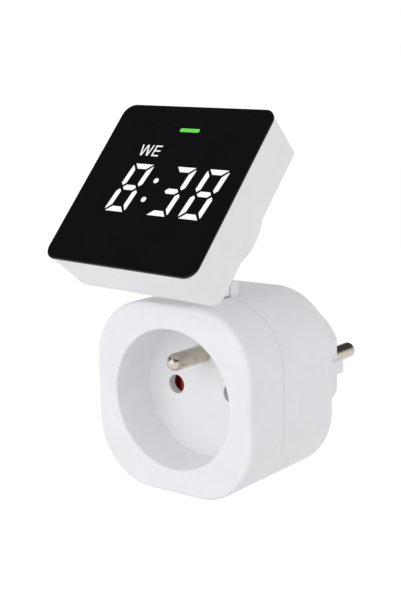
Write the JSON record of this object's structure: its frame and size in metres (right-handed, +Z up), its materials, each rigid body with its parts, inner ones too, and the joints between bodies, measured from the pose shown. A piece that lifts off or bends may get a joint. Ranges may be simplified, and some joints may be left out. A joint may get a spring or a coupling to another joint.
{
  "type": "plug-in digital timer",
  "caption": "White plug-in mains timer: rounded body with a recessed earthed socket, wall plug behind, and a square black clock display on a tilting, swivelling dome arm.",
  "frame": {"origin": "middle of the end face of the plug's round nose, between the two mains pins", "axes": "+X to the right seen from the socket face, +Y out of the back towards the wall along the mains pins, +Z up towards the clock head"},
  "size_m": [0.0524, 0.0962, 0.103],
  "materials": {
    "shell_white": "satin",
    "head_white": "satin",
    "arm_white": "satin",
    "plate_black": "gloss",
    "lit_white": "lit",
    "lit_green": "lit",
    "pin_nickel": "satin",
    "contact_brass": "plain",
    "steel": "zinc plated",
    "shutter_red": "moulded",
    "guide_grey": "moulded",
    "board_green": "solder mask",
    "relay_black": "moulded",
    "film_yellow": "moulded",
    "can_sleeve": "shrink sleeve",
    "fuse_body": "glazed",
    "header_white": "moulded",
    "part_black": "moulded",
    "ribbon_grey": "flat cable",
    "washer_nylon": "nylon",
    "button_white": "satin",
    "cell_steel": "plain"
  },
  "bodies": {
    "base": {"front_shell": "shell_white", "rear_shell": "shell_white", "body_screw_1": "steel", "body_screw_2": "steel", "body_screw_3": "steel", "body_screw_4": "steel", "front_earth_pin": "pin_nickel", "line_pin": "pin_nickel", "neutral_pin": "pin_nickel", "line_contact": "contact_brass", "neutral_contact": "contact_brass", "earth_strap": "contact_brass", "earth_clips": "contact_brass", "earth_sleeve": "contact_brass", "power_board": "board_green", "relay": "relay_black", "film_capacitor": "film_yellow", "can_capacitor": "can_sleeve", "fuse": "fuse_body", "cable_header": "header_white", "shutter_guide": "guide_grey", "shutter_spring": "steel", "hinge_pin": "steel"},
    "shutter": {"shutter": "shutter_red"},
    "arm": {"arm": "arm_white", "hinge_washer_left": "washer_nylon", "hinge_washer_right": "washer_nylon", "swivel_disc": "arm_white", "wave_washer": "steel", "swivel_keeper": "steel", "arm_ribbon": "ribbon_grey"},
    "head": {"head_housing": "head_white", "front_plate": "plate_black", "display_diffuser": "lit_white", "status_lens": "lit_green", "display_module": "part_black", "display_board": "board_green", "clock_chip": "part_black", "cell_holder": "part_black", "backup_cell": "cell_steel", "ribbon_socket": "header_white", "board_screw_1": "steel", "board_screw_2": "steel", "button_switch_1": "part_black", "button_switch_2": "part_black", "button_switch_3": "part_black", "button_switch_4": "part_black"},
    "button_1": {"button_1": "button_white"},
    "button_2": {"button_2": "button_white"},
    "button_3": {"button_3": "button_white"},
    "button_4": {"button_4": "button_white"}
  },
  "joints": [
    {"name": "arm_tilt", "type": "hinge", "parent": "base", "child": "arm", "pos_m": [0, -0.03905, 0.0283], "axis": [-1, 0, 0], "range_deg": [0, 40]},
    {"name": "head_swivel", "type": "hinge", "parent": "arm", "child": "head", "pos_m": [0, -0.0471, 0.04945], "axis": [0, -0.749, 0.6626], "range_deg": [-87.8, 92.2]},
    {"name": "shutter_slide", "type": "slide", "parent": "base", "child": "shutter", "axis": [0, 0, -1], "range_m": [0, 0.0062], "stiffness_N_per_m": 60, "springref_m": -0.003, "deforming": ["shutter_spring"]},
    {"name": "button_1_press", "type": "slide", "parent": "head", "child": "button_1", "axis": [-0.0384, -0.6621, -0.7484], "range_m": [0, 0.0005], "stiffness_N_per_m": 400, "springref_m": -0.0005},
    {"name": "button_2_press", "type": "slide", "parent": "head", "child": "button_2", "axis": [-0.0384, -0.6621, -0.7484], "range_m": [0, 0.0005], "stiffness_N_per_m": 400, "springref_m": -0.0005},
    {"name": "button_3_press", "type": "slide", "parent": "head", "child": "button_3", "axis": [-0.0384, -0.6621, -0.7484], "range_m": [0, 0.0005], "stiffness_N_per_m": 400, "springref_m": -0.0005},
    {"name": "button_4_press", "type": "slide", "parent": "head", "child": "button_4", "axis": [-0.0384, -0.6621, -0.7484], "range_m": [0, 0.0005], "stiffness_N_per_m": 400, "springref_m": -0.0005}
  ]
}
